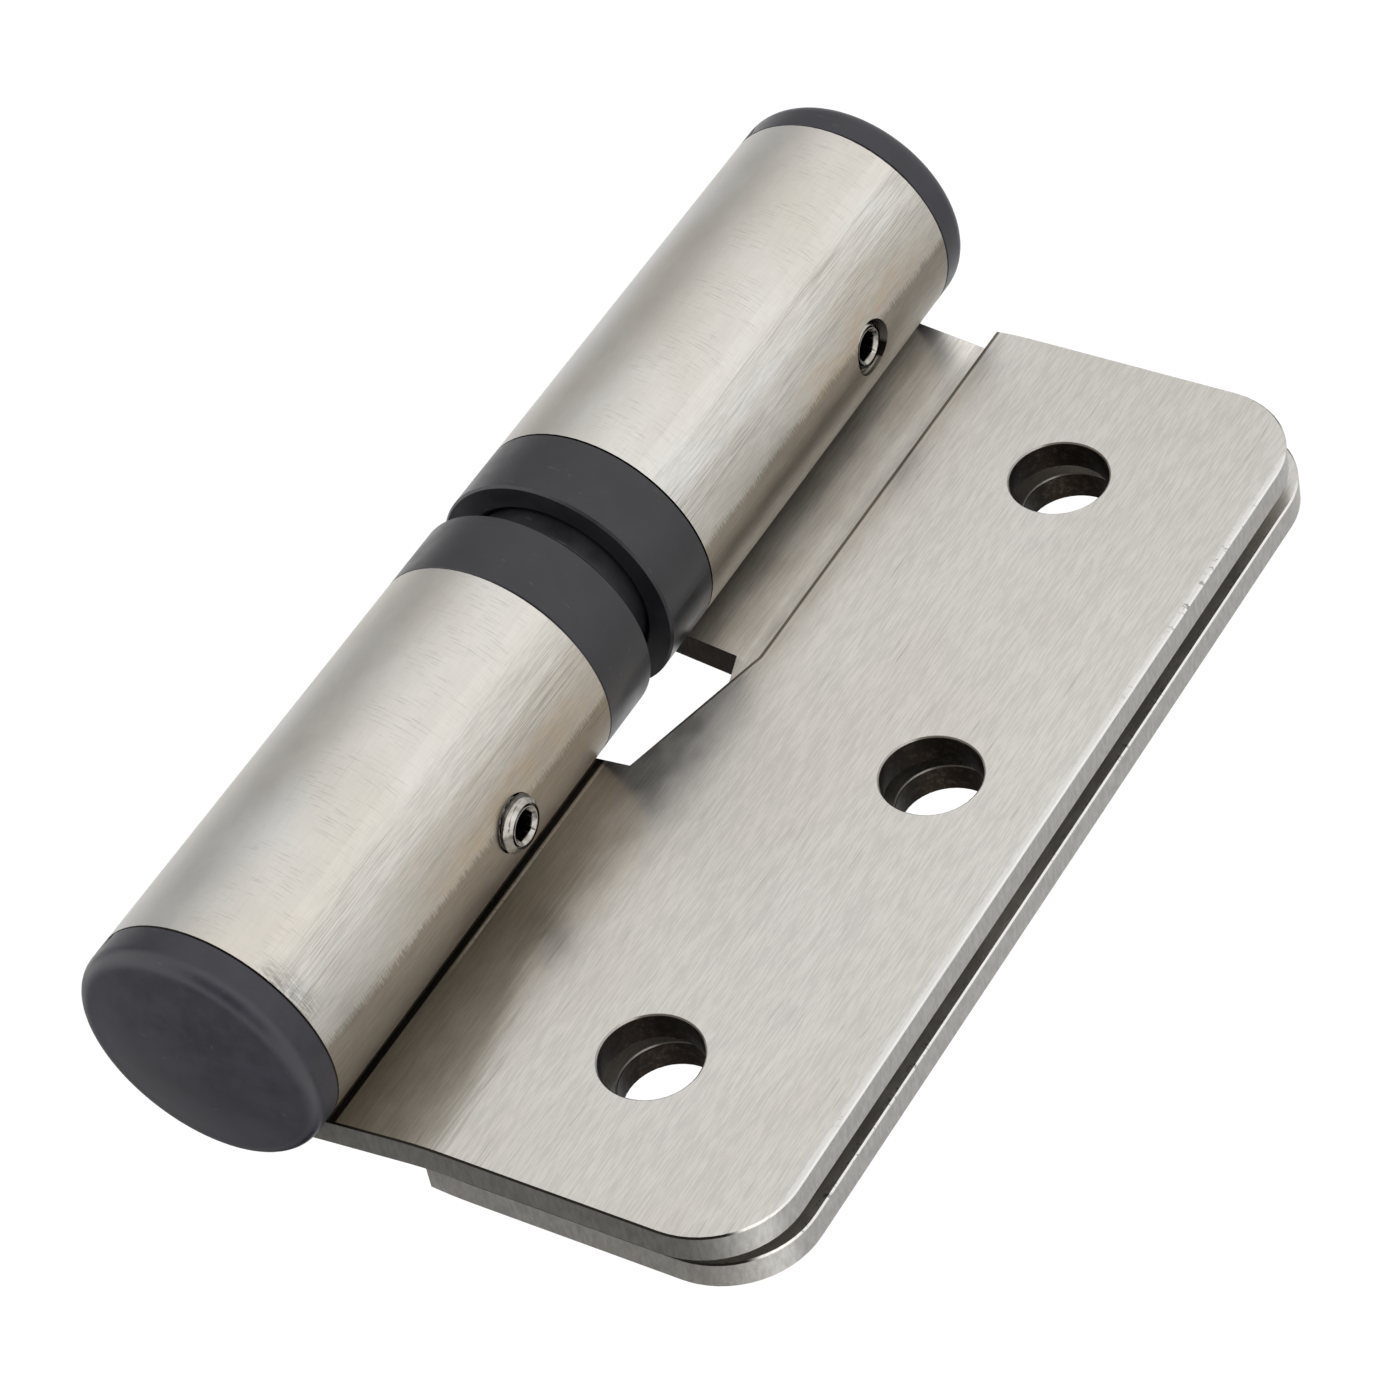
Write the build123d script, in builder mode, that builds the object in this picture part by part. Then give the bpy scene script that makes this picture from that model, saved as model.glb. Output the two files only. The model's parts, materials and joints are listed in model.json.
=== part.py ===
from build123d import *
import os
from math import acos, copysign, cos, degrees, radians, sin, tan

# Rising hinge for a cubicle door.
#
# Two rolled sheet leaves turn on a loose steel pin. A nylon bush sits in each knuckle. The lower
# bush holds three helical ramps in a recess, and the upper one stands on them with a matching neck,
# so the door climbs as it opens and runs shut by its own weight. A grub screw locks each bush in
# its knuckle, and a nylon cap closes each end of the barrel.
#
# The origin is on the back of the frame leaf, midway between its outer fixing holes. The hinge axis
# is parallel to Z, the leaves lie on its -X side, and the back of the frame leaf faces +Y.

# Sheet leaves
sheet = 2.8
leaf_height = 100.0
leaf_reach = 47.3
corner_radius = 8.0
edge_break = 0.15
frame_leaf_slope = -8.6
door_leaf_slope = 7.2
joggle_reach = 17.8
joggle_radius = 30.0
seam_gap = 0.15

# Cut-out that clears the other knuckle
relief_clearance = 5.0
relief_corner_radius = 2.0
diagonal_clearance = 0.75
diagonal_rise = 14.6
diagonal_foot_radius = 1.0
diagonal_head_radius = 20.0

# Fixing holes
hole_diameter = 8.6
hole_spacing = 35.0
outer_hole_reach = 30.0
middle_hole_reach = 36.3

# Barrel, from the lower end to the upper
bush_diameter = 16.6
bush_fit = 0.05
knuckle_length = 42.2
collar_length = 6.8
collar_gap = 3.5
collar_chamfer = 0.2

# Cam
lobes = 3
lobe_rise = 5.0
cam_depth = 5.7
cam_play = 0.2
cam_step_play = 2.5
ramp_root = 0.5
neck_diameter = 16.8
neck_clearance = 0.2
mouth_chamfer = 0.35

# Pin
pin_diameter = 8.0
pin_fit = 0.05
pin_length = 78.0
pin_chamfer = 0.6
pin_floor = 4.0
pin_play = 0.1
pin_headroom = 1.5

# Grub screws
screw_diameter = 5.0
screw_fit = 0.05
screw_length = 4.0
screw_chamfer = 0.55
screw_angle = 2.0
socket_size = 2.5
socket_depth = 2.0
door_screw_height = 27.7
door_screw_stand = 0.9
frame_screw_height = 13.6
frame_screw_stand = -0.45

# End caps
cap_height = 3.5
cap_edge_radius = 1.6
cap_edge_steps = 3
cap_dome = 0.7
cap_face_diameter = 10.0
cap_roof = 2.2
cap_spigot_length = 5.0
cap_spigot_wall = 2.0
cap_spigot_fit = 0.08
cap_lead_in = 0.5
cap_to_bush = 1.0

# Sizes that follow
bush_radius = bush_diameter / 2
bore_radius = bush_radius + bush_fit
barrel_radius = bore_radius + sheet
neck_radius = neck_diameter / 2
recess_radius = neck_radius + neck_clearance
pin_radius = pin_diameter / 2
pin_bore_radius = pin_radius + pin_fit
lower_collar_top = knuckle_length + collar_length
upper_collar_bottom = lower_collar_top + collar_gap
upper_collar_top = upper_collar_bottom + collar_length
barrel_length = upper_collar_top + knuckle_length
relief_reach = barrel_radius + relief_clearance
diagonal_foot = barrel_radius + diagonal_clearance
bush_inset = cap_spigot_length + cap_to_bush
cam_floor = lower_collar_top - cam_depth
neck_end = cam_floor + cam_play
pin_bottom = bush_inset + pin_floor + pin_play
pin_bore_top = pin_bottom + pin_length + pin_headroom


def plate_depth(slope):
    """Depth, past the hinge axis, of the outer face of a leaf's flat plate."""
    tangent_x = barrel_radius * sin(radians(slope))
    tangent_y = -barrel_radius * cos(radians(slope))
    return tangent_y + (joggle_reach - tangent_x) * tan(radians(slope))


axis_x = outer_hole_reach
axis_y = plate_depth(frame_leaf_slope)
base_z = -leaf_height / 2
hinge_axis = Axis((axis_x, axis_y, base_z), (0, 0, 1))
door_screw_level = barrel_length - door_screw_height


def level(height):
    """Plane square to the hinge axis: +x runs out along the leaves, which lie on its -y side."""
    return Plane(origin=(axis_x, axis_y, base_z + height), x_dir=(-1, 0, 0), z_dir=(0, 0, 1))


def profile_plane(end, upward):
    """Plane through the hinge axis: +x runs out along the leaves, +y from a barrel end inwards."""
    return Plane(origin=(axis_x, axis_y, base_z + end), x_dir=(-1, 0, 0), z_dir=(0, upward, 0))


def screw_plane(height, distance):
    """Plane square to a grub screw, at a distance from the hinge axis, facing out of the barrel."""
    angle = radians(screw_angle)
    middle = Plane(origin=(axis_x, axis_y, base_z + height), z_dir=(-cos(angle), -sin(angle), 0))
    return middle.offset(distance)


def round_edges(part, radius):
    """The part's circular edges of one radius."""
    return part.edges().filter_by(GeomType.CIRCLE).filter_by(lambda edge: abs(edge.radius - radius) < 0.01)


def make_leaf(slope, end, upward, screw_height):
    """A leaf: a blank with its knuckle rolled round the axis and its plate set over by a joggle."""
    depth = plate_depth(slope)
    rolled_back = degrees(acos((bore_radius - seam_gap) / barrel_radius))
    roll_start = slope - 90 + rolled_back
    roll_size = 360 - rolled_back
    front_joggle_reach = joggle_reach - sheet * tan(radians(slope) / 2)
    holes = [
        (outer_hole_reach, leaf_height / 2 - hole_spacing),
        (middle_hole_reach, leaf_height / 2),
        (outer_hole_reach, leaf_height / 2 + hole_spacing),
    ]
    with BuildPart() as leaf:
        # Rolled section, as long as the leaf
        with BuildSketch(level(end)):
            with BuildLine():
                outside = CenterArc((0, 0), barrel_radius, roll_start, roll_size)
                inside = CenterArc((0, 0), bore_radius, roll_start, roll_size)
                back = FilletPolyline(
                    outside @ 1,
                    (joggle_reach, depth),
                    (leaf_reach, depth),
                    radius=joggle_radius,
                )
                front = FilletPolyline(
                    inside @ 1,
                    (front_joggle_reach, depth + sheet),
                    (leaf_reach, depth + sheet),
                    radius=joggle_radius + copysign(sheet, slope),
                )
                Line(back @ 1, front @ 1)
                Line(outside @ 0, inside @ 0)
            make_face()
        extrude(amount=upward * leaf_height)

        # Outline: knuckle at one end, relief for the other knuckle beside the rest
        with BuildSketch(profile_plane(end, upward)) as outline:
            with BuildLine():
                Polyline(
                    (-barrel_radius - sheet, 0),
                    (leaf_reach, 0),
                    (leaf_reach, leaf_height),
                    (relief_reach, leaf_height),
                    (relief_reach, knuckle_length + diagonal_rise),
                    (diagonal_foot, knuckle_length),
                    (-barrel_radius - sheet, knuckle_length),
                    close=True,
                )
            make_face()
            columns = outline.vertices().group_by(Axis.X)
            outer_corners = columns[-1]
            relief_corners = columns[-2].sort_by(Axis.Y)
            diagonal_foot_corner = columns[-3]
            fillet(outer_corners, corner_radius)
            fillet(relief_corners[-1], relief_corner_radius)
            fillet(relief_corners[0], diagonal_head_radius)
            fillet(diagonal_foot_corner, diagonal_foot_radius)
        extrude(amount=2 * barrel_radius, both=True, mode=Mode.INTERSECT)

        # Fixing holes, and the tapped hole of the grub screw
        with BuildSketch(profile_plane(end, upward)):
            with Locations(holes):
                Circle(hole_diameter / 2)
        extrude(amount=2 * barrel_radius, both=True, mode=Mode.SUBTRACT)
        with BuildSketch(screw_plane(end + upward * screw_height, bush_radius)):
            Circle(screw_diameter / 2 + screw_fit)
        extrude(amount=2 * sheet, both=True, mode=Mode.SUBTRACT)

        # Broken edges round both faces of the flat plate, and at its holes
        plate_faces = leaf.faces().filter_by(Axis.Y).sort_by(SortBy.AREA)[-2:]
        plate_edges = ShapeList()
        for face in plate_faces:
            plate_edges += face.outer_wire().edges().sort_by(Axis.X)[:-1]
            for hole in face.inner_wires():
                plate_edges += hole.edges()
        chamfer(plate_edges, edge_break)
    return leaf


def make_screw(height, stand):
    """Socket-head grub screw, whose outer end stands proud of the barrel by stand."""
    with BuildPart() as screw:
        with BuildSketch(screw_plane(height, barrel_radius + stand)):
            Circle(screw_diameter / 2)
        extrude(amount=-screw_length)
        chamfer(screw.edges().filter_by(GeomType.CIRCLE), screw_chamfer)
        with BuildSketch(screw_plane(height, barrel_radius + stand)):
            RegularPolygon(socket_size / 2, side_count=6, major_radius=False)
        extrude(amount=-socket_depth, mode=Mode.SUBTRACT)
    return screw


def make_cap(end, upward):
    """Domed end cap, flush with the barrel, on a hollow spigot inside the knuckle."""
    spigot_radius = bore_radius - cap_spigot_fit
    inner_radius = spigot_radius - cap_spigot_wall
    crown = -cap_height - cap_dome
    crown_radius = barrel_radius - cap_edge_radius
    edge = []
    for step in range(cap_edge_steps + 1):
        turn = radians(90 * step / cap_edge_steps)
        edge.append((crown_radius + cap_edge_radius * cos(turn), cap_edge_radius * (1 - sin(turn)) - cap_height))
    with BuildPart() as cap:
        with BuildSketch(profile_plane(end, upward)):
            with BuildLine():
                Polyline(
                    (barrel_radius, 0),
                    *edge,
                    (cap_face_diameter / 2, crown),
                    (0, crown),
                    (0, crown + cap_roof),
                    (inner_radius, crown + cap_roof),
                    (inner_radius, cap_spigot_length),
                    (spigot_radius - cap_lead_in, cap_spigot_length),
                    (spigot_radius, cap_spigot_length - cap_lead_in),
                    (spigot_radius, 0),
                    close=True,
                )
            make_face()
        revolve(axis=hinge_axis)
    return cap


# Leaves
frame_leaf = make_leaf(frame_leaf_slope, 0, 1, frame_screw_height)
door_leaf = make_leaf(door_leaf_slope, barrel_length, -1, door_screw_height)

lobe_angle = 360 / lobes
cam_lead = lobes * lobe_rise
ramp_middle = (recess_radius + pin_radius) / 2
ramp_width = recess_radius - pin_radius + 2 * ramp_root


def make_ramp(sweep_angle):
    """Sector about Z with a helical top, which starts at height 0 on +X."""
    with BuildPart() as ramp:
        with BuildLine():
            Helix(pitch=cam_lead, height=cam_lead * sweep_angle / 360, radius=ramp_middle)
        with BuildSketch(Plane.XZ):
            with Locations((ramp_middle, 0)):
                Rectangle(ramp_width, 2 * lobe_rise, align=(Align.CENTER, Align.MAX))
        sweep(is_frenet=True)
        split(bisect_by=Plane.XY.offset(-ramp_root), keep=Keep.TOP)
    return ramp.part


female_ramp = make_ramp(lobe_angle)
male_ramp = make_ramp(lobe_angle + cam_step_play)

# Lower bush: body, collar, recess with ramps, blind pin bore
with BuildPart(level(cam_floor)) as lower_cam_bush:
    with BuildSketch(profile_plane(0, 1)):
        with BuildLine():
            Polyline(
                (0, bush_inset),
                (bush_radius, bush_inset),
                (bush_radius, knuckle_length),
                (barrel_radius, knuckle_length),
                (barrel_radius, lower_collar_top),
                (recess_radius + mouth_chamfer, lower_collar_top),
                (recess_radius, lower_collar_top - mouth_chamfer),
                (recess_radius, cam_floor),
                (0, cam_floor),
                close=True,
            )
        make_face()
    revolve(axis=hinge_axis)
    chamfer(round_edges(lower_cam_bush, barrel_radius), collar_chamfer)
    with PolarLocations(0, lobes):
        add(female_ramp)
    with BuildSketch(level(bush_inset + pin_floor)):
        Circle(pin_bore_radius)
    extrude(amount=barrel_length, mode=Mode.SUBTRACT)
    screw_seat = barrel_radius + frame_screw_stand - screw_length
    with BuildSketch(screw_plane(frame_screw_height, screw_seat)):
        Circle(screw_diameter / 2 + screw_fit)
    extrude(amount=screw_length, mode=Mode.SUBTRACT)

# Upper bush: body, collar, neck cut to the ramps, blind pin bore
with BuildPart(level(neck_end)) as upper_cam_bush:
    with BuildSketch(profile_plane(0, 1)):
        with BuildLine():
            Polyline(
                (0, neck_end),
                (neck_radius, neck_end),
                (neck_radius, upper_collar_bottom),
                (barrel_radius, upper_collar_bottom),
                (barrel_radius, upper_collar_top),
                (bush_radius, upper_collar_top),
                (bush_radius, barrel_length - bush_inset),
                (0, barrel_length - bush_inset),
                close=True,
            )
        make_face()
    revolve(axis=hinge_axis)
    chamfer(round_edges(upper_cam_bush, barrel_radius), collar_chamfer)
    with PolarLocations(0, lobes):
        add(male_ramp, mode=Mode.SUBTRACT)
    with BuildSketch(level(pin_bore_top)):
        Circle(pin_bore_radius)
    extrude(amount=-barrel_length, mode=Mode.SUBTRACT)
    screw_seat = barrel_radius + door_screw_stand - screw_length
    with BuildSketch(screw_plane(door_screw_level, screw_seat)):
        Circle(screw_diameter / 2 + screw_fit)
    extrude(amount=screw_length, mode=Mode.SUBTRACT)

# Pin
with BuildPart() as hinge_pin:
    with BuildSketch(level(pin_bottom)):
        Circle(pin_radius)
    extrude(amount=pin_length)
    chamfer(hinge_pin.edges().filter_by(GeomType.CIRCLE), pin_chamfer)

# Grub screws and caps
lower_grub_screw = make_screw(frame_screw_height, frame_screw_stand)
upper_grub_screw = make_screw(door_screw_level, door_screw_stand)
bottom_cap = make_cap(0, 1)
top_cap = make_cap(barrel_length, -1)

pieces = {
    "frame_leaf": frame_leaf,
    "door_leaf": door_leaf,
    "lower_cam_bush": lower_cam_bush,
    "upper_cam_bush": upper_cam_bush,
    "hinge_pin": hinge_pin,
    "lower_grub_screw": lower_grub_screw,
    "upper_grub_screw": upper_grub_screw,
    "bottom_cap": bottom_cap,
    "top_cap": top_cap,
}
for name, piece in pieces.items():
    piece.part.label = name
    export_step(piece.part, f"parts/{name}.step")
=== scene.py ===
import json
import math

import bmesh
import bpy
from mathutils import Matrix, Vector


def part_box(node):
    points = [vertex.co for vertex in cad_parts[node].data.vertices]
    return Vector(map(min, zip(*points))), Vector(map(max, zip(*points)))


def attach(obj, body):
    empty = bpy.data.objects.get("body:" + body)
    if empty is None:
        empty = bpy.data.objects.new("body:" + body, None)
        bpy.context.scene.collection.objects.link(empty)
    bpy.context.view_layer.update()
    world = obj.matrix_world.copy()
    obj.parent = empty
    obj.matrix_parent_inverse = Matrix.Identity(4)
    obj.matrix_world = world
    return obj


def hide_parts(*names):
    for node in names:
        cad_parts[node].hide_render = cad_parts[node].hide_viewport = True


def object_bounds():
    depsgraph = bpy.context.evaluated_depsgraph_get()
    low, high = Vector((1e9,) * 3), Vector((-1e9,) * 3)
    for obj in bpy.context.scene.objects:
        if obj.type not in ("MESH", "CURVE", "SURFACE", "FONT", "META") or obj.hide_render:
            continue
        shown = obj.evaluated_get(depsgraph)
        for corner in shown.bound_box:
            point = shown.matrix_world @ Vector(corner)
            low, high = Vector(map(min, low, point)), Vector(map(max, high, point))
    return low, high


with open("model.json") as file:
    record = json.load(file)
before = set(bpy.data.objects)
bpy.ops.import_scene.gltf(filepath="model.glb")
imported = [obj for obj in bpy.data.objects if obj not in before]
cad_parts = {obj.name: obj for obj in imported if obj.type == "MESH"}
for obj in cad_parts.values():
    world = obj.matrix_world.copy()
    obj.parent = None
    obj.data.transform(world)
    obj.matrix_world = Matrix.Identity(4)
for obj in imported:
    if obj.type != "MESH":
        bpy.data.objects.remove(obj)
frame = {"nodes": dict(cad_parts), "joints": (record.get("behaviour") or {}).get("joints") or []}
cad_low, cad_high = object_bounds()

# Sizes in metres, as the solids have them
MM = 0.001
nodes = frame["nodes"]
axis_x = frame["joints"][0]["pos_m"][0]
axis_y = frame["joints"][0]["pos_m"][1]
barrel_radius = 11.15 * MM
hole_radius = 4.3 * MM
hole_spacing = 35.0 * MM
outer_hole_x = 0.0
middle_hole_x = -6.3 * MM
outer_edge_x = -17.3 * MM
relief_x = 13.7 * MM
slant_end = 14.6 * MM
slant_slope = 4.4 / 14.6
frame_knuckle_end = -7.8 * MM
door_knuckle_end = 9.3 * MM
cap_height = 3.5 * MM
cap_dome = 0.7 * MM
cap_roof = 2.0 * MM
spigot_radius = 8.27 * MM
screw_radius = 2.5 * MM
screw_turn = math.radians(2.0)
thread_pitch = 0.8 * MM
upper_screw_stand = 0.9 * MM
lower_screw_stand = -0.45 * MM

# Where marks lie on the sheet: from its bend on, and at its seam beside the barrel, which carries a
# painted shadow
bend_x = 13.0 * MM
frame_seam_x = 23.7 * MM
door_seam_x = 20.6 * MM


class Nodes:
    """Short calls for the shader nodes used here."""

    def __init__(self, tree):
        self.tree = tree

    def node(self, kind, **settings):
        made = self.tree.nodes.new(kind)
        for key, value in settings.items():
            setattr(made, key, value)
        return made

    def put(self, socket, value):
        """Links an output to a socket, or sets the socket's own value."""
        if isinstance(value, bpy.types.NodeSocket):
            self.tree.links.new(value, socket)
        else:
            socket.default_value = value

    def math(self, operation, first, second=0.0):
        made = self.node("ShaderNodeMath", operation=operation)
        self.put(made.inputs[0], first)
        self.put(made.inputs[1], second)
        return made.outputs[0]

    def add(self, first, *others):
        for other in others:
            first = self.math("ADD", first, other)
        return first

    def subtract(self, first, second):
        return self.math("SUBTRACT", first, second)

    def times(self, first, *others):
        for other in others:
            first = self.math("MULTIPLY", first, other)
        return first

    def largest(self, first, second):
        return self.math("MAXIMUM", first, second)

    def split(self, vector):
        made = self.node("ShaderNodeSeparateXYZ")
        self.put(made.inputs[0], vector)
        return made.outputs[0], made.outputs[1], made.outputs[2]

    def join(self, x, y, z):
        made = self.node("ShaderNodeCombineXYZ")
        self.put(made.inputs[0], x)
        self.put(made.inputs[1], y)
        self.put(made.inputs[2], z)
        return made.outputs[0]

    def dot(self, vector, direction):
        made = self.node("ShaderNodeVectorMath", operation="DOT_PRODUCT")
        self.put(made.inputs[0], vector)
        made.inputs[1].default_value = Vector(direction).normalized()
        return made.outputs["Value"]

    def length(self, first, second):
        """Length of a vector with two known sides."""
        squares = self.add(self.times(first, first), self.times(second, second))
        return self.math("SQRT", squares)

    def noise(self, vector, scale, detail=2.0, roughness=0.5):
        """Noise whose scale along each axis is given in features per unit."""
        stretch = self.node("ShaderNodeVectorMath", operation="MULTIPLY")
        self.put(stretch.inputs[0], vector)
        stretch.inputs[1].default_value = scale
        made = self.node("ShaderNodeTexNoise")
        self.put(made.inputs["Vector"], stretch.outputs[0])
        made.inputs["Scale"].default_value = 1.0
        made.inputs["Detail"].default_value = detail
        made.inputs["Roughness"].default_value = roughness
        return made.outputs["Fac"]

    def remap(self, value, low, high, to_low=0.0, to_high=1.0):
        """Smooth step: to_low at low, to_high at high."""
        made = self.node("ShaderNodeMapRange", interpolation_type="SMOOTHSTEP")
        if low > high:
            low, high, to_low, to_high = high, low, to_high, to_low
        self.put(made.inputs["Value"], value)
        made.inputs["From Min"].default_value = low
        made.inputs["From Max"].default_value = high
        made.inputs["To Min"].default_value = to_low
        made.inputs["To Max"].default_value = to_high
        return made.outputs["Result"]

    def band(self, value, low, high, soft):
        """1 between low and high, fading to 0 outside."""
        rise = self.remap(value, low - soft, low)
        fall = self.remap(value, high, high + soft, 1.0, 0.0)
        return self.times(rise, fall)

    def blend(self, factor, first, second):
        made = self.node("ShaderNodeMix", data_type="RGBA")
        self.put(made.inputs[0], factor)
        self.put(made.inputs[6], first)
        self.put(made.inputs[7], second)
        return made.outputs[2]


class Shader(Nodes):
    """A new material with its own coordinates and Principled shader.

    color is its colour so far. Each material sets the first one itself, and marks change it.
    """

    def __init__(self, name):
        self.material = bpy.data.materials.new(name)
        self.material.use_nodes = True
        super().__init__(self.material.node_tree)
        self.bsdf = self.tree.nodes["Principled BSDF"]
        coordinates = self.node("ShaderNodeTexCoord")
        self.place = coordinates.outputs["Object"]
        self.normal = coordinates.outputs["Normal"]

    def paint(self, factor, color):
        """Covers the colour so far with another, by a factor."""
        self.color = self.blend(factor, self.color, color)

    def glaze(self, factor, color):
        """Multiplies the colour so far by another, by a factor."""
        made = self.node("ShaderNodeMix", data_type="RGBA", blend_type="MULTIPLY")
        self.put(made.inputs[0], factor)
        self.put(made.inputs[6], self.color)
        self.put(made.inputs[7], color)
        self.color = made.outputs[2]

    def shade(self, factor, level):
        """Darkens or brightens the colour so far to a level, by a factor."""
        self.glaze(factor, (level, level, level, 1))

    def bump(self, height, strength, distance):
        made = self.node("ShaderNodeBump")
        made.inputs["Strength"].default_value = strength
        made.inputs["Distance"].default_value = distance
        self.put(made.inputs["Height"], height)
        return made.outputs["Normal"]

    def set(self, name, value):
        self.put(self.bsdf.inputs[name], value)


class SheetSteel(Shader):
    """Satin stainless sheet of a leaf. Each method adds one kind of mark.

    knuckle_end is the height of its knuckle's inner end. relief is 1 where the sheet is cut back above
    that end, and -1 where it is cut back below it.
    """

    def __init__(self, name, knuckle_end, relief):
        super().__init__(name)
        self.x, y, self.z = self.split(self.place)
        across = self.subtract(axis_x, self.x)
        depth = self.subtract(axis_y, y)
        self.radius = self.length(across, depth)
        self.knuckle = self.remap(self.radius, barrel_radius + 0.3 * MM, barrel_radius + 0.05 * MM)
        self.plate = self.subtract(1.0, self.knuckle)
        self.beyond = self.times(self.subtract(self.z, knuckle_end), relief)

        # Degrees round the barrel, 0 on the plate's side and 90 on the front
        self.turn = self.times(self.math("ARCTAN2", depth, across), 180 / math.pi)
        self.crown = self.times(self.knuckle, self.remap(self.turn, 44, 60))
        self.near_side = self.times(self.knuckle, self.remap(self.turn, -60, -30))

        # Noises that several marks share
        self.unrolled = self.join(self.times(self.turn, barrel_radius * math.pi / 180), self.z, 0.0)
        self.hairlines = self.noise(self.place, (7500, 7500, 420), detail=3.0, roughness=0.7)
        self.deep_lines = self.noise(self.place, (3400, 3400, 60), detail=4.0, roughness=0.7)
        self.mottle = self.noise(self.place, (420, 420, 300), detail=4.0, roughness=0.65)
        self.stain = self.noise(self.place, (70, 70, 35), detail=3.0)
        self.cross_marks = self.noise(self.unrolled, (480, 6200, 1))
        self.strokes = self.noise(self.unrolled, (800, 8000, 1), detail=3.0, roughness=0.7)

    def brush(self):
        """Faces brushed along the barrel, faintly stained and scratched, with painted shade darkening
        the plate towards its far end.
        """
        stained = self.remap(self.stain, 0.35, 0.68)
        plate_color = self.blend(stained, (0.718, 0.694, 0.655, 1), (0.69, 0.66, 0.612, 1))
        knuckle_color = self.blend(stained, (0.675, 0.665, 0.64, 1), (0.60, 0.565, 0.51, 1))
        self.color = self.blend(self.knuckle, plate_color, knuckle_color)
        # Painted shade: the plate grows darker towards its far end.
        self.shade(self.times(self.plate, self.remap(self.z, -5 * MM, -45 * MM)), 0.93)
        brushed = self.subtract(1.0, self.times(self.crown, 0.8))
        self.shade(self.times(brushed, self.remap(self.hairlines, 0.6, 0.4)), 0.87)
        self.shade(self.remap(self.mottle, 0.7, 0.3), 0.95)
        scratches = self.remap(self.noise(self.place, (3600, 3600, 130)), 0.64, 0.72)
        self.shade(self.times(scratches, brushed, 0.7), 0.75)

    def mark_barrel(self):
        """Rolling streaks under a facet lit by a painted highlight, cross marks on the crown, and scuffs
        by the upper cap.
        """
        streaks = self.noise(self.unrolled, (8500, 100, 1), detail=3.0, roughness=0.6)
        streak_groups = self.noise(self.unrolled, (260, 22, 1))
        flank = self.times(self.knuckle, self.band(self.turn, 28, 49, 4))
        flank = self.times(flank, self.remap(streak_groups, 0.35, 0.6, 0.25, 1.0))
        self.shade(self.times(flank, self.remap(streaks, 0.53, 0.42)), 0.74)
        below_flank = self.times(self.near_side, self.remap(self.turn, 38, 34))
        self.glaze(below_flank, (0.92, 0.90, 0.87, 1))
        # Painted highlight: a paler band along a facet of the barrel.
        facet_highlight = self.times(self.knuckle, self.band(self.turn, 51, 59, 2))
        self.shade(facet_highlight, 1.05)

        mark_groups = self.noise(self.unrolled, (250, 300, 1))
        ticks = self.times(self.crown, self.remap(self.turn, 100, 85))
        ticks = self.times(ticks, self.remap(self.cross_marks, 0.54, 0.66))
        ticks = self.times(ticks, self.remap(mark_groups, 0.35, 0.6, 0.15, 1.0))
        self.shade(ticks, 0.84)

        by_cap = self.times(self.knuckle, self.remap(self.z, 48.5 * MM, 51 * MM))
        scuffs = self.times(by_cap, self.band(self.turn, 32, 52, 10))
        self.shade(self.times(scuffs, self.remap(self.strokes, 0.42, 0.56)), 0.6)

    def tint_barrel(self, screw_z):
        """Heat tint beside the grub screw, and a darker strip by the seam with brushed borders."""
        reach = 7 * MM
        heat = self.times(self.knuckle, self.band(self.turn, 14, 20, 8))
        heat = self.times(heat, self.band(self.z, screw_z - reach, screw_z + reach, reach))
        heat = self.times(heat, self.remap(self.mottle, 0.35, 0.6, 0.2, 1.0))
        self.glaze(heat, (0.98, 0.90, 0.80, 1))
        ragged = self.times(self.subtract(self.strokes, 0.5), 14)
        wavy = self.times(self.subtract(self.stain, 0.5), 22)
        strip = self.remap(self.add(self.turn, ragged, wavy), 13, 8)
        self.glaze(self.times(self.near_side, strip), (0.56, 0.52, 0.47, 1))

    def mark_foot(self, seam_x, strip_light, seam_tone):
        """Foot of the plate: painted shade that widens towards the cap, painted light and shade beside
        the barrel, and a painted shadow along the seam with a painted highlight on its burr.

        The strip and seam tones are the painted light of the sheet a little beside the barrel and the
        painted shade close to it.
        """
        # Painted shade: the barrel's dark reflection on the foot of the plate, with a ragged edge that
        # widens towards the cap.
        foot_shade_x = self.remap(self.z, 26 * MM, 50 * MM, 14.3 * MM, 10.0 * MM)
        foot_shade_x = self.add(foot_shade_x, self.times(self.subtract(self.deep_lines, 0.5), 5 * MM))
        foot_shade = self.remap(self.subtract(self.x, foot_shade_x), -0.3 * MM, 2.2 * MM)
        foot_shade = self.times(foot_shade, self.plate, self.remap(self.z, 14 * MM, 27 * MM))
        self.glaze(foot_shade, (0.66, 0.64, 0.61, 1))

        beside_knuckle = self.times(self.plate, self.remap(self.beyond, 0.5 * MM, 0.0))
        bent = self.times(beside_knuckle, self.remap(self.x, bend_x, bend_x + 1 * MM))
        self.shade(self.times(bent, self.remap(self.deep_lines, 0.6, 0.38)), 0.9)
        # Painted light on a strip a little beside the barrel, and painted shade closer to it.
        strip = self.band(self.x, seam_x - 6.1 * MM, seam_x - 3.6 * MM, 1 * MM)
        self.shade(self.times(beside_knuckle, strip), strip_light)
        by_seam = self.remap(self.x, seam_x - 3.2 * MM, seam_x - 0.2 * MM)
        self.shade(self.times(beside_knuckle, by_seam), seam_tone)
        # Painted shadow along the seam where the plate meets the barrel.
        seam = self.remap(self.x, seam_x, seam_x + 0.1 * MM)
        self.shade(self.times(beside_knuckle, seam), 0.08)
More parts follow.
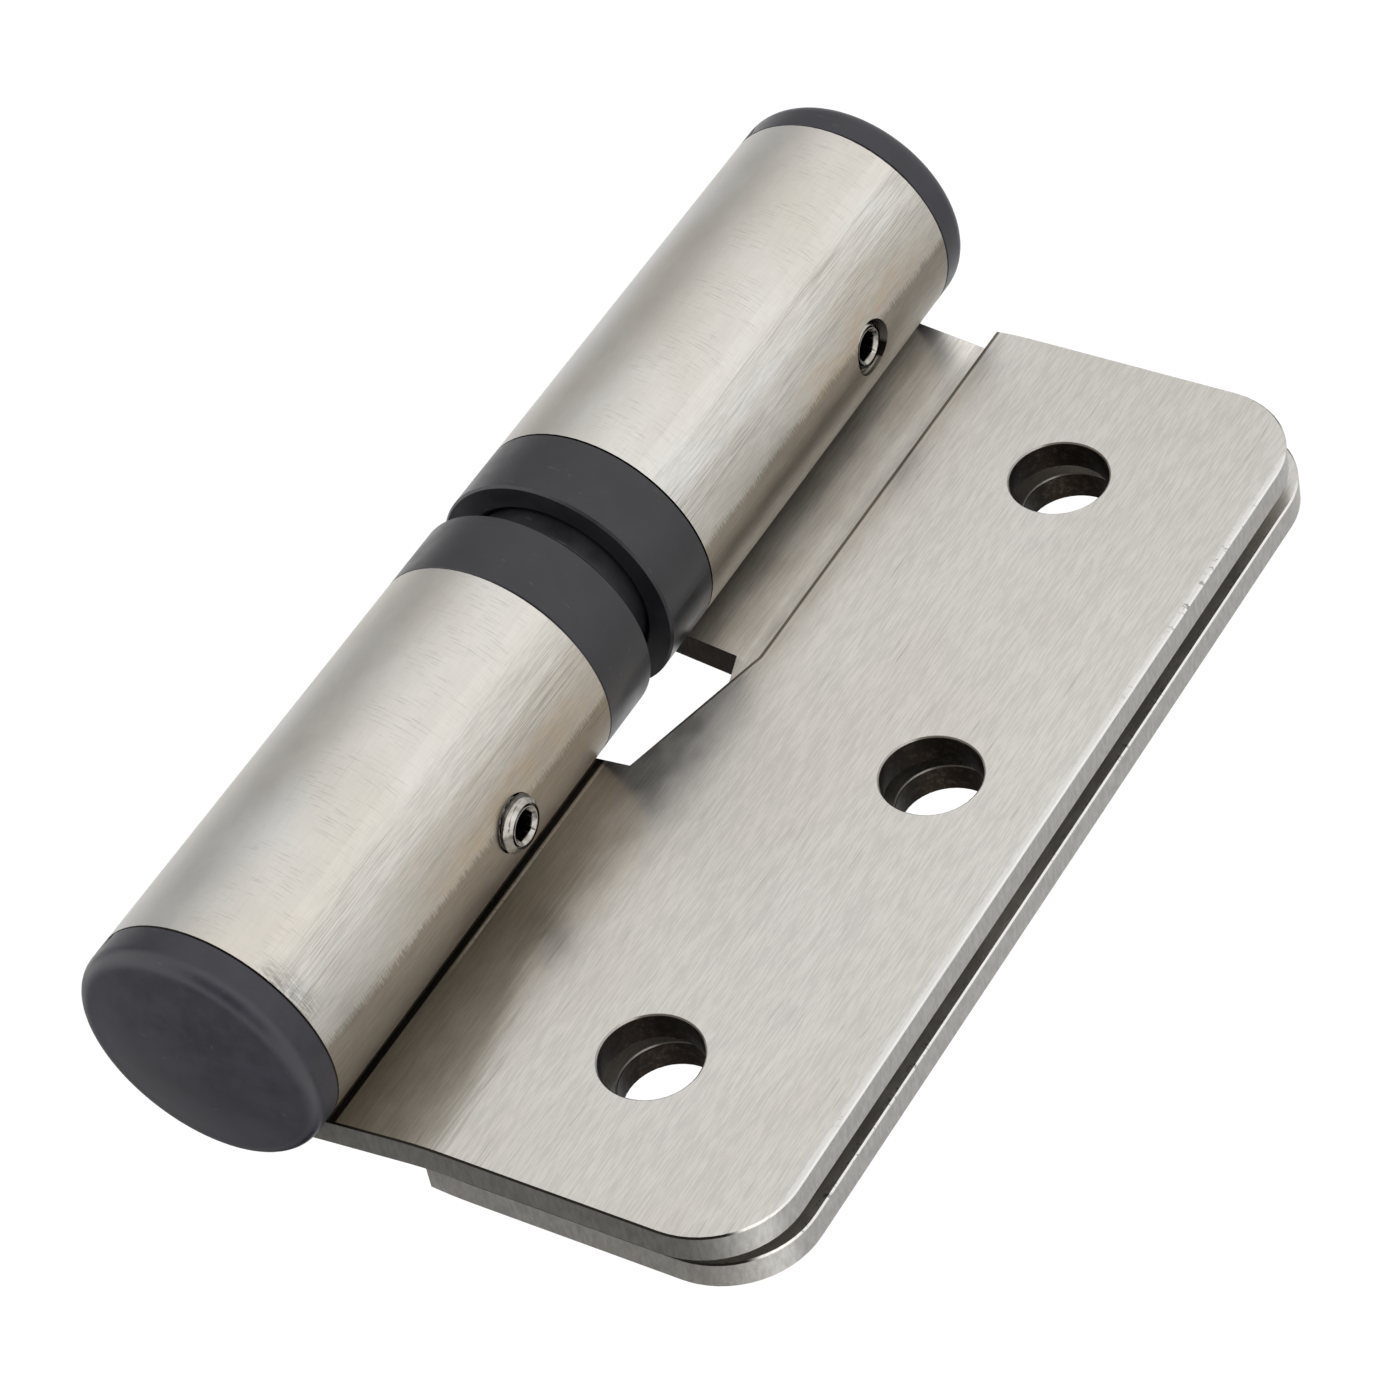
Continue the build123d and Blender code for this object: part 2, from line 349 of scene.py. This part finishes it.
        # Painted highlight on the burr beside the seam.
        burr_highlight = self.band(self.x, seam_x - 0.3 * MM, seam_x - 0.12 * MM, 0.05 * MM)
        burr_highlight = self.times(beside_knuckle, burr_highlight, self.band(self.z, 9 * MM, 30 * MM, 6 * MM))
        self.paint(self.times(burr_highlight, self.remap(self.strokes, 0.35, 0.45)), (0.95, 0.93, 0.90, 1))

    def mark_relief(self):
        """Painted shadow along the relief's arris, with a painted highlight beside it and the plate
        lightened near it by painted light.
        """
        slant = self.times(self.largest(self.subtract(slant_end, self.beyond), 0.0), slant_slope)
        edge_gap = self.subtract(self.add(slant, relief_x), self.x)
        along = self.times(self.plate, self.remap(self.beyond, 2 * MM, 4 * MM))
        # Painted light: the plate lighter near the relief.
        self.shade(self.times(along, self.remap(edge_gap, 5 * MM, 1 * MM)), 1.12)
        # Painted highlight beside the arris.
        edge_highlight = self.times(along, self.band(edge_gap, 0.3 * MM, 0.4 * MM, 0.1 * MM))
        self.paint(self.times(edge_highlight, 0.5), (0.82, 0.81, 0.79, 1))
        # Painted shadow on the arris.
        dark = self.times(along, self.remap(edge_gap, 0.18 * MM, 0.12 * MM))
        self.glaze(dark, (0.30, 0.27, 0.23, 1))

    def tap_hole(self):
        """Thread painted in the wall of the grub screw's hole, as painted light on its crests and
        painted shade in its roots.
        """
        thread = self.math("SINE", self.times(self.radius, 2 * math.pi / thread_pitch))
        crests = self.remap(thread, -0.6, 0.6)
        # Painted light and shade of the thread.
        thread_light_and_shade = self.blend(crests, (0.22, 0.20, 0.18, 1), (0.85, 0.83, 0.80, 1))
        tapped = self.remap(self.radius, barrel_radius - 0.06 * MM, barrel_radius - 0.14 * MM)
        screw_side = self.remap(self.x, axis_x - 8 * MM, axis_x - 9 * MM)
        self.paint(self.times(tapped, screw_side), thread_light_and_shade)

    def burnish_edge(self):
        """Burnished outer edge with small nicks."""
        edge_noise = self.noise(self.place, (900, 900, 1600), detail=4.0, roughness=0.7)
        from_edge = self.subtract(self.x, outer_edge_x)
        from_edge = self.add(from_edge, self.times(self.subtract(edge_noise, 0.5), 0.7 * MM))
        self.burnish = self.remap(from_edge, 0.75 * MM, 0.35 * MM)
        self.paint(self.times(self.burnish, 0.6), (0.82, 0.81, 0.79, 1))
        nicks = self.times(self.remap(edge_noise, 0.57, 0.63), self.remap(self.stain, 0.45, 0.55))
        at_edge = self.remap(self.x, outer_edge_x + 0.7 * MM, outer_edge_x + 0.3 * MM)
        self.shade(self.times(nicks, at_edge), 0.35)

    def cut_edges(self, end_shade_tone):
        """Sheared sides and ends, each leaf's ends in a grey of their own as painted shade, and the cuts
        beside the relief and the bevels painted near-black as painted shade.
        """
        normal_x, normal_y, normal_z = self.split(self.normal)
        upright = self.math("ABSOLUTE", normal_z)
        facing = self.math("ABSOLUTE", normal_y)
        self.shear = self.noise(self.place, (2200, 700, 2200), detail=4.0, roughness=0.7)
        grain = self.remap(self.shear, 0.25, 0.75)

        ends = self.remap(upright, 0.45, 0.6)
        sides = self.times(self.plate, self.remap(facing, 0.4, 0.3))
        self.sheared = self.largest(sides, ends)
        # Painted shade: each leaf's ends take their own grey.
        end_dark = (0.80 * end_shade_tone, 0.76 * end_shade_tone, 0.70 * end_shade_tone, 1)
        end_light = (1.15 * end_shade_tone, 1.10 * end_shade_tone, 1.02 * end_shade_tone, 1)
        end_color = self.blend(grain, end_dark, end_light)
        side_color = self.blend(grain, (0.45, 0.435, 0.41, 1), (0.60, 0.585, 0.56, 1))
        self.paint(self.sheared, self.blend(self.remap(upright, 0.35, 1.0), side_color, end_color))

        # Painted shade: the cut faces beside the relief, in the gap between the leaves, painted
        # near-black.
        beside_relief = self.band(self.x, bend_x, bend_x + 3.5 * MM, 1 * MM)
        inner_sides = self.times(self.remap(normal_x, 0.85, 0.95), beside_relief)
        inner_ends = self.times(ends, self.remap(self.x, bend_x - 1 * MM, bend_x))
        inner_ends = self.times(inner_ends, self.band(self.beyond, 0.0, 20 * MM, 1 * MM))
        inner_shade_color = self.blend(grain, (0.020, 0.016, 0.013, 1), (0.042, 0.034, 0.028, 1))
        self.paint(self.largest(inner_sides, inner_ends), inner_shade_color)
        # Painted shade: the bevels painted near-black.
        bevel_shade = self.largest(self.remap(facing, 0.4, 0.5), self.knuckle)
        bevel_shade = self.times(bevel_shade, self.band(upright, 0.55, 0.85, 0.1))
        self.paint(bevel_shade, (0.02, 0.017, 0.014, 1))

    def drill_holes(self, middle_hole_z):
        """Rims of the fixing holes darkened by painted shade, and their dark walls."""
        distance = 1.0
        for hole_x, hole_z in (
            (outer_hole_x, middle_hole_z - hole_spacing),
            (middle_hole_x, middle_hole_z),
            (outer_hole_x, middle_hole_z + hole_spacing),
        ):
            one = self.length(self.subtract(self.x, hole_x), self.subtract(self.z, hole_z))
            distance = self.math("MINIMUM", distance, one)
        self.rims = self.remap(distance, hole_radius + 0.2 * MM, hole_radius + 0.16 * MM)
        walls = self.remap(distance, hole_radius + 0.06 * MM, hole_radius + 0.02 * MM)
        specks = self.noise(self.place, (1600, 1600, 1600), detail=3.0, roughness=0.7)
        specks = self.remap(specks, 0.45, 0.8)
        # Painted shade on the rims of the holes.
        self.paint(self.times(self.rims, 0.6), (0.24, 0.21, 0.18, 1))
        self.paint(walls, self.blend(specks, (0.018, 0.013, 0.009, 1), (0.055, 0.044, 0.035, 1)))

    def finish(self):
        """Colour, satin sheen and the relief of the lines and cuts. Comes after all the marks."""
        cut = self.largest(self.sheared, self.rims)
        rough = self.add(
            self.remap(self.mottle, 0.3, 0.7, 0.29, 0.34),
            self.remap(self.hairlines, 0.3, 0.7, 0.05, 0.0),
            self.times(cut, 0.14),
            self.times(self.burnish, -0.06),
        )
        self.set("Base Color", self.color)
        self.set("Metallic", 1.0)
        self.set("Roughness", rough)
        self.set("Anisotropic", 0.6)
        self.set("Anisotropic Rotation", 0.25)
        self.set("Tangent", self.join(0.0, 0.0, 1.0))
        lines = self.blend(self.crown, self.hairlines, self.cross_marks)
        lines = self.blend(cut, lines, self.shear)
        self.set("Normal", self.bump(lines, 0.25, 0.03 * MM))


def make_sheet_steel(leaf, screw, knuckle_end, relief, seam_x, end_shade_tone, strip_light, seam_tone):
    """Material of a leaf, named after its node. screw is the node of its grub screw."""
    steel = SheetSteel(leaf + "_steel", knuckle_end, relief)
    steel.brush()
    steel.mark_barrel()
    steel.tint_barrel(middle_z(screw))
    steel.mark_foot(seam_x, strip_light, seam_tone)
    steel.mark_relief()
    steel.tap_hole()
    steel.burnish_edge()
    steel.cut_edges(end_shade_tone)
    steel.drill_holes(middle_z(leaf))
    steel.finish()
    return steel.material


def make_nylon(name, blue):
    """Moulded black nylon, a little blue."""
    shader = Shader(name)
    mottle = shader.noise(shader.place, (230, 230, 230), detail=5.0, roughness=0.65)
    grain = shader.noise(shader.place, (3500, 3500, 3500))
    scuffs = shader.remap(shader.noise(shader.place, (700, 700, 2600), detail=3.0), 0.68, 0.74)
    dark = (0.0098, 0.0098, 0.0098 + blue, 1)
    light = (0.0170, 0.0170, 0.0170 + 1.5 * blue, 1)
    shader.color = shader.blend(shader.remap(mottle, 0.3, 0.7), dark, light)
    shader.paint(shader.times(scuffs, 0.5), (0.05, 0.05, 0.053, 1))
    shader.set("Base Color", shader.color)
    shader.set("Specular IOR Level", 0.5)
    shader.set("Roughness", shader.remap(mottle, 0.3, 0.7, 0.28, 0.42))
    shader.set("Normal", shader.bump(grain, 0.12, 0.02 * MM))
    return shader.material


def make_screw_steel(name, light_and_shade_tone):
    """Turned and plated steel of the screws and pin, of a given grey. The greys make lit and shaded
    copies of the steel, as painted light and shade.
    """
    shader = Shader(name)
    marks = shader.noise(shader.place, (1800, 1800, 1800), detail=3.0)
    worn = (0.68 * light_and_shade_tone, 0.63 * light_and_shade_tone, 0.55 * light_and_shade_tone, 1)
    plated = (light_and_shade_tone, 0.965 * light_and_shade_tone, 0.90 * light_and_shade_tone, 1)
    shader.set("Base Color", shader.blend(shader.remap(marks, 0.3, 0.7), worn, plated))
    shader.set("Metallic", 1.0)
    shader.set("Roughness", shader.remap(marks, 0.3, 0.7, 0.16, 0.3))
    shader.set("Normal", shader.bump(marks, 0.05, 0.02 * MM))
    return shader.material


def middle_z(node):
    low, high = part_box(node)
    return (low[2] + high[2]) / 2


def dress(piece, material):
    """Gives a piece one material all over."""
    piece.data.materials.clear()
    piece.data.materials.append(material)
    for polygon in piece.data.polygons:
        polygon.material_index = 0


def ring_mesh(name, rings, closed_start, closed_end):
    """A mesh through rings of equally many points, closed at each end by faces round a point."""
    mesh = bmesh.new()
    rows = [[mesh.verts.new(point) for point in ring] for ring in rings]
    count = len(rings[0])
    for first, second in zip(rows, rows[1:]):
        for index in range(count):
            after = (index + 1) % count
            mesh.faces.new((first[index], first[after], second[after], second[index]))
    for end, row in ((closed_start, rows[0]), (closed_end, rows[-1])):
        tip = mesh.verts.new(end)
        for index in range(count):
            mesh.faces.new((row[index], row[(index + 1) % count], tip))
    bmesh.ops.recalc_face_normals(mesh, faces=mesh.faces)
    data = bpy.data.meshes.new(name)
    mesh.to_mesh(data)
    mesh.free()
    data.shade_smooth()
    data.set_sharp_from_angle(angle=math.radians(35))
    piece = bpy.data.objects.new(name, data)
    bpy.context.scene.collection.objects.link(piece)
    return piece


def cap_profile():
    """Half section of an end cap, as radius and rise, from the inside of its spigot to its dome."""
    edge_steps = 10
    dome_steps = 10
    edge_radius = 1.6 * MM
    inner_radius = 6.27 * MM
    spigot_end = -5.0 * MM
    lead_in = 0.5 * MM
    break_edge = 0.06 * MM
    side_top = 0.8 * MM

    crown_radius = barrel_radius - edge_radius
    profile = [
        (0.5 * inner_radius, cap_roof),
        (inner_radius, cap_roof),
        (inner_radius, spigot_end),
        (spigot_radius - lead_in, spigot_end),
        (spigot_radius, spigot_end + lead_in),
        (spigot_radius, 0.0),
        (barrel_radius - break_edge, 0.0),
        (barrel_radius, break_edge),
        (barrel_radius, side_top),
    ]
    for step in range(edge_steps + 1):
        angle = math.pi / 2 * step / edge_steps
        rise = cap_height - edge_radius * (1 - math.sin(angle))
        profile.append((crown_radius + edge_radius * math.cos(angle), rise))
    for step in range(1, dome_steps):
        part = 1 - step / dome_steps
        profile.append((crown_radius * part, cap_height + cap_dome * (1 - part * part)))
    return profile


def make_cap(node, body, end_z, outward):
    """End cap with a true rounding and dome, and the small nick that its sprue left at the rim."""
    segments = 192
    nick_turn = math.radians(317)
    nick_width = math.radians(2.5)
    nick_depth = 0.3 * MM
    nick_top = 1.0 * MM

    rings = []
    for radius, rise in cap_profile():
        at_rim = radius > spigot_radius + 0.1 * MM and rise < nick_top
        depth = nick_depth if at_rim else 0.0
        ring = []
        for index in range(segments):
            angle = 2 * math.pi * index / segments
            nearness = max(0.0, 1 - abs(angle - nick_turn) / nick_width)
            reach = radius - depth * nearness
            x = axis_x + reach * math.cos(angle)
            y = axis_y + reach * math.sin(angle)
            ring.append((x, y, end_z + outward * rise))
        rings.append(ring)
    start = (axis_x, axis_y, end_z + outward * cap_roof)
    end = (axis_x, axis_y, end_z + outward * (cap_height + cap_dome))
    cap = ring_mesh(node + "_moulded", rings, start, end)
    dress(cap, cap_nylon)
    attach(cap, body)
    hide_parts(node)


def make_grub_screw(node, body, screw_z, stand):
    """Grub screw with its thread, chamfered end and countersunk hexagon socket."""
    segments = 120
    rows_per_turn = 14
    length = 4.0 * MM
    thread_depth = 0.32 * MM
    flank_slope = 1.3
    end_chamfer = 0.55 * MM
    groove_radius = 1.88 * MM
    groove_width = 0.18 * MM
    countersink = 1.62 * MM
    countersink_depth = 0.3 * MM
    socket_apothem = 1.25 * MM
    socket_lead = 1.36 * MM
    lead_depth = 0.05 * MM
    socket_depth = 2.0 * MM
    point_depth = 2.4 * MM
    out = Vector((-math.cos(screw_turn), -math.sin(screw_turn), 0))
    up = Vector((0, 0, 1))
    side = up.cross(out)
    end = Vector((axis_x, axis_y, screw_z)) + out * (barrel_radius + stand)

    def point(radius, angle, inward):
        return end - out * inward + (side * math.cos(angle) + up * math.sin(angle)) * radius

    def hexagon(angle):
        return socket_apothem / math.cos((angle + math.pi / 6) % (math.pi / 3) - math.pi / 6)

    angles = [2 * math.pi * index / segments for index in range(segments)]
    rings = []
    rows = round(length / thread_pitch * rows_per_turn)
    for row in range(rows + 1):
        inward = length - length * row / rows
        from_end = min(inward, length - inward)
        limit = screw_radius - max(0.0, end_chamfer - from_end)
        ring = []
        for angle in angles:
            phase = (inward / thread_pitch + angle / (2 * math.pi)) % 1.0
            groove = thread_depth * (1 - min(1.0, abs(2 * phase - 1) * flank_slope))
            ring.append(point(min(screw_radius - groove, limit), angle, inward))
        rings.append(ring)
    for radius, inward in (
        (groove_radius + groove_width / 2, groove_width),
        (groove_radius - groove_width / 2, groove_width),
        (groove_radius - groove_width, 0.0),
        (countersink, 0.0),
    ):
        rings.append([point(radius, angle, inward) for angle in angles])
    rings.append([point(max(hexagon(angle), socket_lead), angle, countersink_depth) for angle in angles])
    for inward in (countersink_depth + lead_depth, socket_depth):
        rings.append([point(hexagon(angle), angle, inward) for angle in angles])
    screw = ring_mesh(node + "_threaded", rings, point(0.0, 0.0, length), point(0.0, 0.0, point_depth))

    # Slots by row, as 0 for the thread and the groove in painted shade, 1 for the end in painted light
    # and 2 for the socket in deeper painted shade
    for material in (shaded_thread_steel, lit_screw_steel, shaded_socket_steel):
        screw.data.materials.append(material)
    chamfer_rows = round(end_chamfer / thread_pitch * rows_per_turn)
    row_slots = [0] * (rows - chamfer_rows) + [1] * chamfer_rows + [0] * 3 + [1] * 2
    for polygon in screw.data.polygons:
        row = polygon.index // segments
        polygon.material_index = row_slots[row] if row < len(row_slots) else 2
    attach(screw, body)
    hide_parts(node)


nylon = make_nylon("black_nylon", 0.0025)
cap_nylon = make_nylon("cap_nylon", 0.0055)
# Lit and shaded copies of the screw steel: painted light and shade.
shaded_thread_steel = make_screw_steel("shaded_thread_steel", 0.12)
lit_screw_steel = make_screw_steel("screw_steel", 0.43)
shaded_socket_steel = make_screw_steel("shaded_socket_steel", 0.08)
frame_steel = make_sheet_steel(
    "frame_leaf",
    "lower_grub_screw",
    frame_knuckle_end,
    relief=1,
    seam_x=frame_seam_x,
    end_shade_tone=0.33,
    strip_light=1.3,
    seam_tone=0.3,
)
door_steel = make_sheet_steel(
    "door_leaf",
    "upper_grub_screw",
    door_knuckle_end,
    relief=-1,
    seam_x=door_seam_x,
    end_shade_tone=0.19,
    strip_light=1.0,
    seam_tone=1.0,
)
for name, material in (
    ("frame_leaf", frame_steel),
    ("door_leaf", door_steel),
    ("lower_cam_bush", nylon),
    ("upper_cam_bush", nylon),
    ("bottom_cap", cap_nylon),
    ("top_cap", cap_nylon),
    ("hinge_pin", lit_screw_steel),
    ("lower_grub_screw", lit_screw_steel),
    ("upper_grub_screw", lit_screw_steel),
):
    dress(nodes[name], material)
make_cap("top_cap", "door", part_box("door_leaf")[1][2], 1)
make_cap("bottom_cap", "frame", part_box("frame_leaf")[0][2], -1)
make_grub_screw("upper_grub_screw", "door", middle_z("upper_grub_screw"), upper_screw_stand)
make_grub_screw("lower_grub_screw", "frame", middle_z("lower_grub_screw"), lower_screw_stand)

# Floor
floor_half = 2.0
floor_drop = 0.15
floor_z = cad_low[2] - floor_drop
floor_signs = ((-1, -1), (1, -1), (1, 1), (-1, 1))
floor_mesh = bpy.data.meshes.new("floor")
floor_corners = [(x * floor_half, y * floor_half, floor_z) for x, y in floor_signs]
floor_mesh.from_pydata(floor_corners, [], [(0, 1, 2, 3)])
floor = bpy.data.objects.new("floor", floor_mesh)
bpy.context.scene.collection.objects.link(floor)
floor.visible_glossy = False
floor_shader = Shader("floor")
floor_shader.set("Base Color", (0.97, 0.97, 0.97, 1))
floor_shader.set("Roughness", 0.9)
floor_shader.set("Specular IOR Level", 0.0)
floor_mesh.materials.append(floor_shader.material)

# Camera, fitted to the photograph
camera_right = Vector((-0.8564, 0.1519, -0.4935))
camera_down = Vector((-0.2638, 0.6929, 0.6711))
camera_forward = Vector((0.4439, 0.7049, -0.5533))
camera_place = Vector((-182.67, -323.14, 248.64)) * MM
camera_data = bpy.data.cameras.new("camera")
camera_data.sensor_fit = "HORIZONTAL"
camera_data.sensor_width = 36.0
camera_data.lens = 138.1
camera = bpy.data.objects.new("camera", camera_data)
bpy.context.scene.collection.objects.link(camera)
camera_axes = Matrix((camera_right, -camera_down, -camera_forward)).transposed()
camera.matrix_world = Matrix.Translation(camera_place) @ camera_axes.to_4x4()
bpy.context.scene.camera = camera

# Light: a soft studio round the part, brighter above, with soft patches of light and of shade
world = bpy.data.worlds.new("studio")
bpy.context.scene.world = world
world.use_nodes = True
studio = Nodes(world.node_tree)
direction = studio.node("ShaderNodeTexCoord").outputs["Generated"]
light = studio.remap(studio.split(direction)[2], -0.15, 0.15, 0.50, 1.5)
for aim, half_angle, gain in (
    ((-0.39, -0.73, -0.55), 80, 0.80),
    ((0.55, 0.65, -0.55), 55, 0.55),
    ((-0.44, 0.70, -0.55), 45, 0.16),
    ((-0.25, -0.50, 0.83), 40, -1.2),
    ((0.30, 0.85, 0.42), 60, -1.25),
):
    towards = studio.dot(direction, aim)
    patch = studio.remap(towards, math.cos(math.radians(half_angle)), 1.0, 0.0, gain)
    light = studio.add(light, patch)
background = world.node_tree.nodes["Background"]
studio.put(background.inputs["Strength"], light)
background.inputs["Color"].default_value = (1, 1, 1, 1)
bpy.context.scene.view_settings.view_transform = "Standard"
